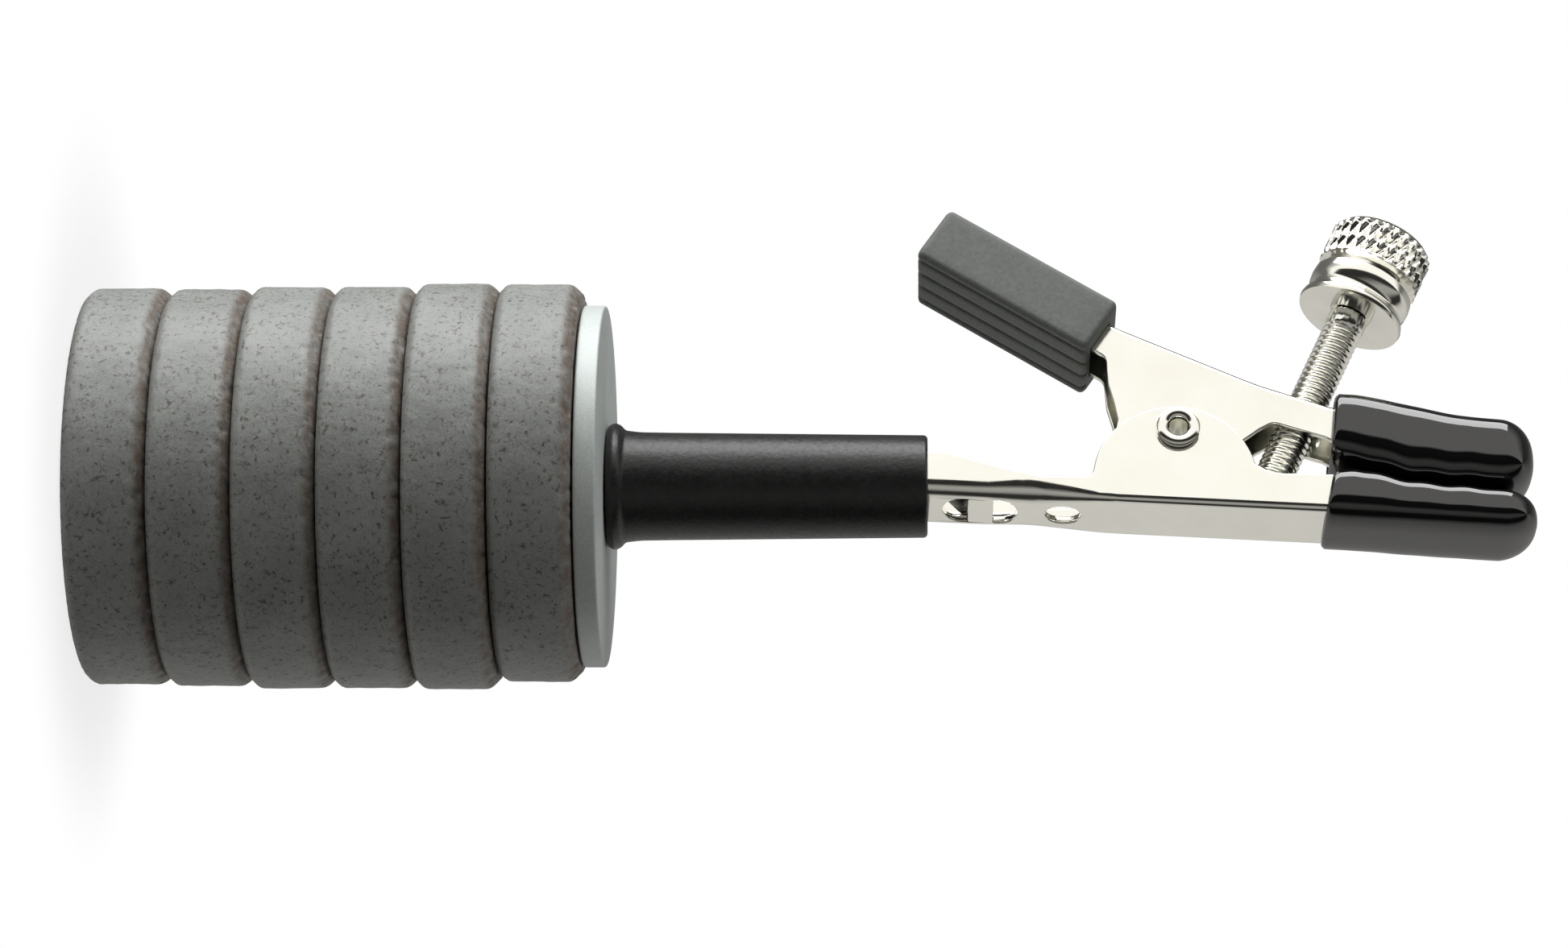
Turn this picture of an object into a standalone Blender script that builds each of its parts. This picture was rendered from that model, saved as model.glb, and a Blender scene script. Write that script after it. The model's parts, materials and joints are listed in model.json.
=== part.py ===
"""A small spring clamp with a thumbscrew stop, weighted by a stack of disc magnets.

The clamp stands on the outermost magnet: the origin is the middle of that magnet's outer face.
+Z runs up the stack, along the sleeve, to the jaws. The thumbscrew side is -X, and the pivot lies along Y.
Side outlines are lists of (up, out) points in millimetres: up is along +Z, out is along -X.
"""

import math

import bmesh
import bpy
from mathutils import Matrix, Vector

MM = 0.001
ROUND = 48            # sides of a large turned piece
ROUND_SMALL = 24      # sides of a small turned piece

# Weight stack
MAGNET_COUNT = 6
MAGNET_RADII = (14.95, 15.0, 15.15, 15.15, 15.3, 15.0)
MAGNET_OUT = (0.0, -0.1, -0.1, -0.1, 0.0, 0.3)     # each magnet sits a little off the axis
MAGNET_THICKNESS = 6.0
MAGNET_EDGE = 0.7
STACK_GAP = 0.18
STACK_TOP = MAGNET_COUNT * MAGNET_THICKNESS + (MAGNET_COUNT - 1) * STACK_GAP
SEAT_GAP = 0.15

# Plate and the hidden screw that holds it
PLATE_RADIUS = 13.6
PLATE_BOTTOM = STACK_TOP + SEAT_GAP
PLATE_TOP = PLATE_BOTTOM + 1.65
PLATE_CHAMFER = 0.2
SCREW_SHANK = 1.25
SCREW_HEAD_RADIUS = 2.3
SCREW_HEAD_DEPTH = 1.2
RUNNING_GAP = 0.2

# Sleeve over the rolled tail
SLEEVE_BOTTOM = PLATE_TOP + SEAT_GAP
SLEEVE_TOP = 62.8
SLEEVE_RADIUS_LOW = 4.1
SLEEVE_RADIUS_HIGH = 3.85
SLEEVE_BEAD_RADIUS = 4.8
SLEEVE_BORE = 2.8
TAIL_RADIUS = 2.6
TAIL_BORE = 2.1
TAIL_BOTTOM = 44.0
BUSH_RADIUS = 1.95
BUSH_BORE = 1.4
BUSH_TOP = 54.0
PLATE_SCREW_TOP = 52.0

# Levers
FIXED_HALF_WIDTH = 3.0
FIXED_SHEET = 0.6
MOVING_HALF_WIDTH = 2.2
MOVING_SHEET = 0.5
FIXED_BEND = 0.8
MOVING_BEND = 0.6
LEVER_TIP = 106.2            # where both levers end, inside the jaw coats
EAR_CENTRE = (81.2, -0.9)
EAR_RADIUS = 6.1
WALL_RADIUS = 4.6            # round end of the moving lever's walls, about the pivot
WINDOWS = ((64.1, 65.8), (67.7, 69.4))     # slots in the fixed lever's web, from and to
WINDOW_HALF_WIDTH = 1.8
WEB_HOLE_UP = 72.9
WEB_HOLE_RADIUS = 1.35
PIVOT_UP = 81.5
PIVOT_OUT = 3.3
RIVET_RADIUS = 1.25
RIVET_HOLE = 0.7
RIVET_HEAD_RADIUS = 1.68
RIVET_HEAD = 0.6
RIVET_HEAD_GAP = 0.12

# Handle cap, in its own slanted frame: `along` from the free end, `high` from the ribbed face
CAP_START = (61.7, 18.15)
CAP_SLOPE = math.radians(33)
CAP_LENGTH = 15.45
CAP_HEIGHT = 4.75
CAP_HALF_WIDTH = 3.85
CAP_CORNER = 0.5
CAP_POCKET_START = 2.45
HANDLE_START = 2.75
HANDLE_LOW = 1.0
HANDLE_HIGH = 3.61
GROOVE_CENTRES = (-2.9, -0.97, 0.97, 2.9)
GROOVE_HALF_WIDTH = 0.2
GROOVE_DEPTH = 0.4

# Thumbscrew
THUMB_TILT = math.radians(24.3)
FLANGE = (94.9, 14.45)       # middle of the flange's lower face
ROD_RADIUS = 1.5
ROD_LENGTH = 17.8
ROD_HOLE = 1.62
ROD_NECK = 1.0               # radius of the rod's plain end
NECK_TOP = 3.0               # where that end stops inside the head
HEAD_HEIGHT = 7.2
FLANGE_RADIUS = 4.05
COLLAR_RADIUS = 3.85
KNURL_RADIUS = 3.78
WAIST_RADIUS = 3.5
GROOVE_RADIUS = 3.1

# Jaw coats
COAT_HALF_WIDTH = 3.8
COAT_CORNER = 0.7
COAT_CLEARANCE = 0.2

# Spring
SPRING_WIRE = 0.25
SPRING_RADIUS = 1.8
SPRING_SPAN = 1.15           # half the coil's width along the rivet


def place(up, out, across=0.0):
    """A point of the clamp, from millimetres in its own directions to world metres."""
    return Vector((-out * MM, across * MM, up * MM))


def clear_scene():
    for obj in list(bpy.data.objects):
        bpy.data.objects.remove(obj, do_unlink=True)


def make_material(name, colour, roughness, metallic):
    material = bpy.data.materials.new(name)
    material.use_nodes = True
    shader = material.node_tree.nodes["Principled BSDF"]
    shader.inputs["Base Color"].default_value = (*colour, 1.0)
    shader.inputs["Roughness"].default_value = roughness
    shader.inputs["Metallic"].default_value = metallic
    return material


def add_object(name, bm, material=None):
    bmesh.ops.recalc_face_normals(bm, faces=bm.faces[:])
    mesh = bpy.data.meshes.new(name)
    bm.to_mesh(mesh)
    bm.free()
    mesh.shade_smooth()
    mesh.set_sharp_from_angle(angle=math.radians(35))
    obj = bpy.data.objects.new(name, mesh)
    bpy.context.scene.collection.objects.link(obj)
    if material:
        mesh.materials.append(material)
    return obj


def add_cutter(name, bm):
    obj = add_object(name, bm)
    obj.hide_render = True
    obj.display_type = "WIRE"
    return obj


def boolean(obj, other, operation):
    modifier = obj.modifiers.new(operation.title(), "BOOLEAN")
    modifier.object = other
    modifier.operation = operation
    modifier.solver = "EXACT"


def set_origin(obj, point):
    """Move an object's origin without moving its shape."""
    obj.data.transform(Matrix.Translation(-point))
    obj.location = point


def filleted(corners, steps=4):
    """A closed outline from (up, out, radius) corners, with an arc in place of each rounded corner."""
    outline = []
    for index, (up, out, radius) in enumerate(corners):
        corner = Vector((up, out))
        if radius == 0:
            outline.append(corner)
            continue
        before = Vector(corners[index - 1][:2]) - corner
        after = Vector(corners[(index + 1) % len(corners)][:2]) - corner
        half = before.angle(after) / 2
        reach = min(radius / math.tan(half), 0.49 * before.length, 0.49 * after.length)
        start = corner + before.normalized() * reach
        end = corner + after.normalized() * reach
        middle = corner + (before.normalized() + after.normalized()).normalized() * (reach / math.cos(half))
        swing = (start - middle).angle_signed(end - middle)
        for step in range(steps + 1):
            turn = -swing * step / steps
            outline.append(middle + Matrix.Rotation(turn, 2) @ (start - middle))
    return outline


def arc(centre, radius, start_deg, end_deg, steps):
    """Sharp corners along an arc in the side view, where 0 degrees points up and 90 points out."""
    corners = []
    for step in range(steps + 1):
        angle = math.radians(start_deg + (end_deg - start_deg) * step / steps)
        corners.append((centre[0] + radius * math.cos(angle), centre[1] + radius * math.sin(angle), 0))
    return corners


def prism(outline, half_width, centre=0.0):
    """A side outline drawn out along the pivot's direction."""
    bm = bmesh.new()
    rings = []
    for across in (centre - half_width, centre + half_width):
        rings.append([bm.verts.new(place(up, out, across)) for up, out in outline])
    count = len(outline)
    bm.faces.new(rings[0])
    bm.faces.new(list(reversed(rings[1])))
    for index in range(count):
        after = (index + 1) % count
        bm.faces.new((rings[0][index], rings[0][after], rings[1][after], rings[1][index]))
    return bm


def turned(profile, sides):
    """A ring about Z, turned from a closed (radius, up) profile."""
    bm = bmesh.new()
    rings = []
    for step in range(sides):
        turn = 2 * math.pi * step / sides
        spoke = Vector((math.cos(turn), math.sin(turn), 0)) * MM
        rings.append([bm.verts.new(place(up, 0) + spoke * radius) for radius, up in profile])
    count = len(profile)
    for step in range(sides):
        here, there = rings[step], rings[(step + 1) % sides]
        for index in range(count):
            after = (index + 1) % count
            bm.faces.new((here[index], here[after], there[after], there[index]))
    return bm


def bevel_side_rims(bm, half_width, size, segments):
    """Round the two rims of a prism, where its side faces meet its edge."""
    rims = []
    for edge in bm.edges:
        first, second = (abs(vertex.co.y) for vertex in edge.verts)
        if first > (half_width - 0.001) * MM and second > (half_width - 0.001) * MM:
            rims.append(edge)
    rims = [edge for edge in rims if edge.verts[0].co.y * edge.verts[1].co.y > 0]
    bmesh.ops.bevel(bm, geom=rims, offset=size * MM, segments=segments, profile=0.5, affect="EDGES",
                    clamp_overlap=True)


def bevel_web(bm, web_points, size, segments):
    """Round a channel's two bends: the rims that follow the given web points."""
    line = [place(up, out) for up, out in web_points]

    def on_web(vertex):
        return any((Vector((vertex.co.x, 0, vertex.co.z)) - point).length < 1e-6 for point in line)

    bends = []
    for edge in bm.edges:
        first, second = edge.verts
        if on_web(first) and on_web(second) and first.co.y * second.co.y > 0:
            bends.append(edge)
    bmesh.ops.bevel(bm, geom=bends, offset=size * MM, segments=segments, profile=0.5, affect="EDGES",
                    clamp_overlap=True)


def magnets(material):
    for index in range(MAGNET_COUNT):
        bottom = index * (MAGNET_THICKNESS + STACK_GAP)
        top = bottom + MAGNET_THICKNESS
        radius = MAGNET_RADII[index]
        profile = [(0, bottom), (radius - MAGNET_EDGE, bottom)]
        profile += [(radius - 0.25 * MAGNET_EDGE, bottom + 0.25 * MAGNET_EDGE)]
        profile += [(radius, bottom + MAGNET_EDGE), (radius, top - MAGNET_EDGE)]
        profile += [(radius - 0.25 * MAGNET_EDGE, top - 0.25 * MAGNET_EDGE)]
        profile += [(radius - MAGNET_EDGE, top), (0, top)]
        add_object(f"magnet_{index + 1}", solid_turned(profile, ROUND, MAGNET_OUT[index]), material)


def solid_turned(profile, sides, out=0.0):
    """A solid turned about a line parallel to Z. Its (radius, up) profile starts and ends on that line."""
    bm = bmesh.new()
    low = bm.verts.new(place(profile[0][1], out))
    high = bm.verts.new(place(profile[-1][1], out))
    rings = []
    for radius, up in profile[1:-1]:
        ring = []
        for step in range(sides):
            turn = 2 * math.pi * step / sides
            spoke = Vector((math.cos(turn), math.sin(turn), 0))
            ring.append(bm.verts.new(place(up, out) + spoke * radius * MM))
        rings.append(ring)
    for step in range(sides):
        after = (step + 1) % sides
        bm.faces.new((low, rings[0][after], rings[0][step]))
        bm.faces.new((high, rings[-1][step], rings[-1][after]))
        for lower, upper in zip(rings, rings[1:]):
            bm.faces.new((lower[step], lower[after], upper[after], upper[step]))
    return bm


def steel_plate(material):
    hole = SCREW_SHANK + RUNNING_GAP
    sink = SCREW_HEAD_RADIUS + RUNNING_GAP
    rim = PLATE_RADIUS - PLATE_CHAMFER
    profile = [(sink, PLATE_BOTTOM), (rim, PLATE_BOTTOM), (PLATE_RADIUS, PLATE_BOTTOM + PLATE_CHAMFER),
               (PLATE_RADIUS, PLATE_TOP - PLATE_CHAMFER), (rim, PLATE_TOP), (hole, PLATE_TOP),
               (hole, PLATE_BOTTOM + SCREW_HEAD_DEPTH)]
    add_object("steel_plate", turned(profile, ROUND), material)


def plate_screw(material):
    head, point = PLATE_BOTTOM + 0.1, 0.3
    profile = [(0, head), (SCREW_HEAD_RADIUS, head), (SCREW_SHANK, head + SCREW_HEAD_DEPTH),
               (SCREW_SHANK, PLATE_SCREW_TOP - point), (SCREW_SHANK - point, PLATE_SCREW_TOP),
               (0, PLATE_SCREW_TOP)]
    add_object("plate_screw", solid_turned(profile, ROUND_SMALL), material)


def core_bush(material):
    profile = [(BUSH_BORE, TAIL_BOTTOM), (BUSH_RADIUS, TAIL_BOTTOM), (BUSH_RADIUS, BUSH_TOP),
               (BUSH_BORE, BUSH_TOP)]
    add_object("core_bush", turned(profile, ROUND_SMALL), material)


def grip_sleeve(material):
    bead_top = SLEEVE_BOTTOM + 1.0
    mouth = 0.5
    profile = [(SLEEVE_BORE, SLEEVE_BOTTOM), (SLEEVE_BEAD_RADIUS - 0.2, SLEEVE_BOTTOM),
               (SLEEVE_BEAD_RADIUS, SLEEVE_BOTTOM + 0.4), (SLEEVE_BEAD_RADIUS - 0.15, bead_top - 0.1),
               (SLEEVE_RADIUS_LOW + 0.1, bead_top + 0.3), (SLEEVE_RADIUS_LOW, bead_top + 1.0),
               (SLEEVE_RADIUS_HIGH, SLEEVE_TOP - mouth), (SLEEVE_RADIUS_HIGH - 0.15, SLEEVE_TOP - 0.15),
               (SLEEVE_RADIUS_HIGH - mouth, SLEEVE_TOP), (SLEEVE_BORE, SLEEVE_TOP)]
    add_object("grip_sleeve", turned(profile, ROUND), material)


def fixed_web(up):
    """How far out the fixed lever's web lies at a height."""
    return -2.05 - 0.0535 * (up - 65.8)


def channel(name, corners, web_points, half_width, sheet, bend, depth, material):
    """A pressed U channel: a solid side outline, hollowed from its open side.

    `depth` is (up, out) for one step from the web into the channel, which sets which way the hollow faces.
    """
    outer = prism(filleted(corners), half_width)
    bevel_web(outer, web_points, bend, 3)
    body = add_object(name, outer, material)
    inward = Vector(depth) * sheet
    reach = Vector(depth) * 30
    hollow = [Vector(point) + inward for point in web_points]
    hollow = [hollow[0] + (hollow[0] - hollow[1]) * 2, *hollow, hollow[-1] + (hollow[-1] - hollow[-2]) * 2]
    hollow += [hollow[-1] + reach, hollow[0] + reach]
    cutter = prism(hollow, half_width - sheet)
    bevel_web(cutter, [tuple(point) for point in hollow[:-2]], bend - sheet + 0.25, 2)
    boolean(body, add_cutter(f"{name}_hollow", cutter), "DIFFERENCE")
    return body


def fixed_lever(material):
    start = SLEEVE_TOP + 0.3
    web_points = [(LEVER_TIP, fixed_web(LEVER_TIP)), (start, fixed_web(start))]
    corners = [(*point, 0) for point in web_points]
    corners += [(start, 1.5, 0), (65.8, 0.86, 2), (68.6, 0.0, 2), (71.2, -0.63, 2), (74.95, -0.63, 0.9)]
    corners += arc(EAR_CENTRE, EAR_RADIUS, 172, 12, 20)
    corners += [(88.4, -0.35, 0.8), (92.2, -0.5, 3), (94.9, -0.45, 1), (98.5, -1.4, 2), (101.5, -1.9, 2),
                (LEVER_TIP, -2.4, 0)]
    lever = channel("fixed_lever", corners, web_points, FIXED_HALF_WIDTH, FIXED_SHEET, FIXED_BEND, (0, 1),
                    material)

    tail_top = 65.4
    tail = turned([(TAIL_BORE, TAIL_BOTTOM), (TAIL_RADIUS, TAIL_BOTTOM), (TAIL_RADIUS, tail_top - 1.2),
                   (TAIL_BORE + 0.1, tail_top), (TAIL_BORE, tail_top)], ROUND_SMALL)
    boolean(lever, add_cutter("rolled_tail", tail), "UNION")

    bore = across_cylinder(PIVOT_UP, PIVOT_OUT, RIVET_RADIUS + RUNNING_GAP, 2 * FIXED_HALF_WIDTH)
    boolean(lever, add_cutter("fixed_lever_bore", bore), "DIFFERENCE")
    for index, (low, high) in enumerate(WINDOWS):
        window = prism([(low, -6), (high, -6), (high, 0), (low, 0)], WINDOW_HALF_WIDTH)
        boolean(lever, add_cutter(f"web_window_{index + 1}", window), "DIFFERENCE")
    boolean(lever, add_cutter("web_hole", web_hole(WEB_HOLE_UP, WEB_HOLE_RADIUS)), "DIFFERENCE")


def web_hole(up, radius):
    """A cutter through the fixed lever's web."""
    bm = bmesh.new()
    bmesh.ops.create_cone(bm, cap_ends=True, segments=ROUND_SMALL, radius1=radius * MM, radius2=radius * MM,
                          depth=4 * MM)
    bm.transform(Matrix.Translation(place(up, fixed_web(up))) @ Matrix.Rotation(math.pi / 2, 4, "Y"))
    return bm


def across_cylinder(up, out, radius, half_length):
    """A cylinder along the pivot's direction."""
    bm = bmesh.new()
    bmesh.ops.create_cone(bm, cap_ends=True, segments=ROUND_SMALL, radius1=radius * MM, radius2=radius * MM,
                          depth=2 * half_length * MM)
    bm.transform(Matrix.Translation(place(up, out)) @ Matrix.Rotation(math.pi / 2, 4, "X"))
    return bm


def cap_point(along, high):
    """A point of the cap's slanted frame, as (up, out)."""
    direction = Vector((math.cos(CAP_SLOPE), -math.sin(CAP_SLOPE)))
    outward = Vector((math.sin(CAP_SLOPE), math.cos(CAP_SLOPE)))
    return Vector(CAP_START) + direction * along + outward * high


def moving_lever(material):
    handle_high = tuple(cap_point(HANDLE_START, HANDLE_HIGH))
    handle_low = tuple(cap_point(HANDLE_START, HANDLE_LOW))
    elbow, tip = (77.0, 12.6), (LEVER_TIP, 3.47)
    web_points = [handle_high, elbow, (87.0, 7.94), (93.0, 5.75), (96.3, 5.25), (102.4, 3.75), tip]
    corners = [(*point, 0) for point in web_points]
    corners += [(LEVER_TIP, -0.5, 0), (105.2, -0.5, 0), (101.5, -0.15, 0), (98.5, 0.4, 0), (94.9, 1.6, 0),
                (92.6, 3.0, 0), (90.0, 3.82, 1), (88.65, 4.3, 1), (87.6, 3.7, 1)]
    corners += arc((PIVOT_UP, PIVOT_OUT), WALL_RADIUS, -10, -196, 18)
    corners += [(76.8, 6.1, 2), (76.4, 7.6, 2), (76.25, 9.9, 0.9), (*handle_low, 0)]
    lever = channel("moving_lever", corners, web_points, MOVING_HALF_WIDTH, MOVING_SHEET, MOVING_BEND,
                    (-0.36, -0.93), material)
    bore = across_cylinder(PIVOT_UP, PIVOT_OUT, RIVET_RADIUS + RUNNING_GAP, 2 * MOVING_HALF_WIDTH)
    boolean(lever, add_cutter("moving_lever_bore", bore), "DIFFERENCE")
    rod_way = along_thumbscrew([(0, -14), (ROD_HOLE, -14), (ROD_HOLE, -4), (0, -4)])
    boolean(lever, add_cutter("rod_hole", rod_way), "DIFFERENCE")
    set_origin(lever, place(PIVOT_UP, PIVOT_OUT))
    return lever


def pivot_rivet(material):
    under = FIXED_HALF_WIDTH + RIVET_HEAD_GAP
    top = under + RIVET_HEAD
    bulge = RIVET_HEAD_RADIUS
    half = [(RIVET_RADIUS, under), (bulge - 0.1, under), (bulge, under + 0.2), (bulge - 0.15, top - 0.12),
            (bulge - 0.45, top), (RIVET_HOLE + 0.2, top - 0.05), (RIVET_HOLE, top - 0.25)]
    mirrored = [(radius, -up) for radius, up in reversed(half)]
    bm = turned(half + mirrored, ROUND_SMALL)
    bm.transform(Matrix.Translation(place(PIVOT_UP, PIVOT_OUT)) @ Matrix.Rotation(math.pi / 2, 4, "X"))
    rivet = add_object("pivot_rivet", bm, material)
    set_origin(rivet, place(PIVOT_UP, PIVOT_OUT))


def torsion_spring(material):
    """Closed coils round the rivet, with one leg under each lever's web."""
    first, last = math.radians(-90), math.radians(32 + 720)
    fixed_end, moving_end = (75.0, -1.3), (79.1, 10.4)
    steps = 56
    points = [place(*fixed_end, -SPRING_SPAN)]
    for step in range(steps + 1):
        share = step / steps
        angle = first + (last - first) * share
        up = PIVOT_UP + SPRING_RADIUS * math.cos(angle)
        out = PIVOT_OUT + SPRING_RADIUS * math.sin(angle)
        points.append(place(up, out, SPRING_SPAN * (2 * share - 1)))
    points.append(place(*moving_end, SPRING_SPAN))
    bm = bmesh.new()
    sides = 8
    rings = []
    for index, point in enumerate(points):
        ahead = points[min(index + 1, len(points) - 1)] - points[max(index - 1, 0)]
        ahead.normalize()
        side = Vector((0, 1, 0)).cross(ahead).normalized()
        other = ahead.cross(side)
        ring = []
        for corner in range(sides):
            turn = 2 * math.pi * corner / sides
            spoke = side * math.cos(turn) + other * math.sin(turn)
            ring.append(bm.verts.new(point + spoke * SPRING_WIRE * MM))
        rings.append(ring)
    bm.faces.new(rings[0])
    bm.faces.new(list(reversed(rings[-1])))
    for lower, upper in zip(rings, rings[1:]):
        for corner in range(sides):
            after = (corner + 1) % sides
            bm.faces.new((lower[corner], lower[after], upper[after], upper[corner]))
    spring = add_object("torsion_spring", bm, material)
    set_origin(spring, place(PIVOT_UP, PIVOT_OUT))
    return spring


def lever_cap(material):
    """The ribbed rubber cap over the moving lever's handle."""
    box = [(0, 0), (CAP_LENGTH, 0), (CAP_LENGTH, CAP_HEIGHT), (0, CAP_HEIGHT)]
    bm = prism(filleted([(*cap_point(*corner), CAP_CORNER) for corner in box]), CAP_HALF_WIDTH)
    bevel_side_rims(bm, CAP_HALF_WIDTH, CAP_CORNER / 2, 2)
    cap = add_object("lever_cap", bm, material)
    low, high = HANDLE_LOW - 0.2, HANDLE_HIGH + 0.2
    past = CAP_LENGTH + 2
    pocket = [(CAP_POCKET_START, low), (past, low), (past, high), (CAP_POCKET_START, high)]
    cutter = prism([cap_point(*corner) for corner in pocket], MOVING_HALF_WIDTH + 0.2)
    boolean(cap, add_cutter("cap_pocket", cutter), "DIFFERENCE")
    groove = [(-1, -1), (past, -1), (past, GROOVE_DEPTH), (-1, GROOVE_DEPTH)]
    for index, centre in enumerate(GROOVE_CENTRES):
        cutter = prism([cap_point(*corner) for corner in groove], GROOVE_HALF_WIDTH, centre)
        boolean(cap, add_cutter(f"cap_groove_{index + 1}", cutter), "DIFFERENCE")
    set_origin(cap, place(PIVOT_UP, PIVOT_OUT))
    return cap


def jaw_coat(name, corners, pocket, half_width, material):
    """A dipped vinyl tip with a pocket for the lever's end."""
    bm = prism(filleted(corners), COAT_HALF_WIDTH)
    bevel_side_rims(bm, COAT_HALF_WIDTH, COAT_CORNER, 2)
    coat = add_object(name, bm, material)
    cutter = prism([Vector(point) for point in pocket], half_width + COAT_CLEARANCE)
    boolean(coat, add_cutter(f"{name}_pocket", cutter), "DIFFERENCE")
    return coat


def jaw_coats(material):
    """Both dipped tips, which meet along a wavy line with a small gap between them."""
    mouth, pocket_end = 90.0, LEVER_TIP + 0.3
    lower = [(92.2, -1.0, 0), (93.4, -4.2, 1.0), (99.7, -4.8, 0), (106.3, -5.1, 1.8), (108.2, -3.3, 1.6),
             (107.8, -1.8, 1.2), (105.2, -1.55, 0), (101.5, -1.2, 0), (98.5, -0.75, 0), (94.4, 0.35, 1.2)]
    pocket = [(up, fixed_web(up) - COAT_CLEARANCE) for up in (mouth, pocket_end)]
    pocket += [(pocket_end, -2.2), (101.5, -1.7), (98.5, -1.2), (94.9, -0.25), (mouth, -0.25)]
    jaw_coat("lower_jaw_coat", lower, pocket, FIXED_HALF_WIDTH, material)

    upper = [(93.9, 6.6, 1.0), (96.3, 6.35, 0), (102.4, 4.6, 0), (106.4, 4.4, 1.6), (108.2, 2.5, 1.6),
             (107.9, -1.2, 1.4), (105.2, -1.25, 0), (101.5, -0.9, 0), (98.5, -0.45, 0), (94.4, 0.65, 1.2)]
    pocket = [(mouth, 2.9), (94.9, 1.35), (98.5, 0.15), (101.5, -0.4), (105.2, -0.75), (pocket_end, -0.75),
              (pocket_end, 3.65), (102.4, 4.0), (96.3, 5.5), (mouth, 7.2)]
    coat = jaw_coat("upper_jaw_coat", upper, pocket, MOVING_HALF_WIDTH, material)
    set_origin(coat, place(PIVOT_UP, PIVOT_OUT))
    return coat


def thumbscrew_frame():
    """Matrix from the thumbscrew's own frame, +Z outward from the flange's lower face."""
    outward = Vector((-math.cos(THUMB_TILT), 0, math.sin(THUMB_TILT)))
    lean = Vector((0, 0, 1)).rotation_difference(outward).to_matrix().to_4x4()
    return Matrix.Translation(place(*FLANGE)) @ lean


def along_thumbscrew(profile, sides=ROUND_SMALL):
    bm = solid_turned(profile, sides)
    bm.transform(thumbscrew_frame())
    return bm


def screw_rod(material):
    chamfer, shoulder = 0.35, -0.3
    profile = [(0, -ROD_LENGTH), (ROD_RADIUS - chamfer, -ROD_LENGTH), (ROD_RADIUS, -ROD_LENGTH + chamfer),
               (ROD_RADIUS, shoulder), (ROD_NECK, shoulder), (ROD_NECK, NECK_TOP), (0, NECK_TOP)]
    rod = add_object("screw_rod", along_thumbscrew(profile), material)
    set_origin(rod, place(*FLANGE))
    return rod


def screw_head(material):
    """Flange, neck, collar, groove and knurled rim, bored for the rod's end."""
    bore = ROD_NECK + 0.15
    bore_end = NECK_TOP + 0.2
    profile = [(0, bore_end), (bore, bore_end), (bore, 0), (FLANGE_RADIUS, 0), (FLANGE_RADIUS, 0.6),
               (WAIST_RADIUS, 0.8), (WAIST_RADIUS, 1.5), (COLLAR_RADIUS, 1.7), (COLLAR_RADIUS, 2.9),
               (GROOVE_RADIUS, 3.0), (GROOVE_RADIUS, 3.5), (KNURL_RADIUS, 3.7), (KNURL_RADIUS, 6.9),
               (KNURL_RADIUS - 0.3, HEAD_HEIGHT), (0, HEAD_HEIGHT)]
    head = add_object("screw_head", along_thumbscrew(profile, 32), material)
    set_origin(head, place(*FLANGE))
    return head


def joint_empty(name, location, parent=None):
    empty = bpy.data.objects.new(name, None)
    bpy.context.scene.collection.objects.link(empty)
    empty.location = location
    if parent:
        bpy.context.view_layer.update()
        adopt(parent, [empty])
    return empty


def adopt(parent, children):
    bpy.context.view_layer.update()
    for child in children:
        child.parent = parent
        child.matrix_parent_inverse = parent.matrix_world.inverted()


def build():
    clear_scene()
    ferrite = make_material("ferrite", (0.09, 0.09, 0.085), 0.6, 0.2)
    plate_metal = make_material("plate_zinc", (0.5, 0.54, 0.52), 0.5, 0.6)
    sleeve_black = make_material("sleeve_black", (0.015, 0.015, 0.015), 0.5, 0.0)
    nickel = make_material("nickel", (0.85, 0.84, 0.78), 0.15, 1.0)
    cap_rubber = make_material("cap_rubber", (0.07, 0.075, 0.07), 0.8, 0.0)
    vinyl = make_material("vinyl_black", (0.01, 0.01, 0.01), 0.12, 0.0)
    screw_steel = make_material("screw_steel", (0.6, 0.6, 0.6), 0.35, 1.0)

    magnets(ferrite)
    steel_plate(plate_metal)
    plate_screw(screw_steel)
    core_bush(screw_steel)
    grip_sleeve(sleeve_black)
    fixed_lever(nickel)
    pivot_rivet(nickel)
    swinging = [moving_lever(nickel), torsion_spring(screw_steel), lever_cap(cap_rubber), jaw_coats(vinyl)]
    rod, head = screw_rod(nickel), screw_head(nickel)

    pivot = joint_empty("lever_pivot", place(PIVOT_UP, PIVOT_OUT))
    travel = joint_empty("thumbscrew_line", place(*FLANGE), pivot)
    adopt(pivot, swinging)
    adopt(travel, [rod, head])


build()
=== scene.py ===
"""Looks of the weighted spring clamp: fine meshes, finishes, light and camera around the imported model."""

import json
import math

import bmesh
import bpy
from mathutils import Matrix, Vector, noise


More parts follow.
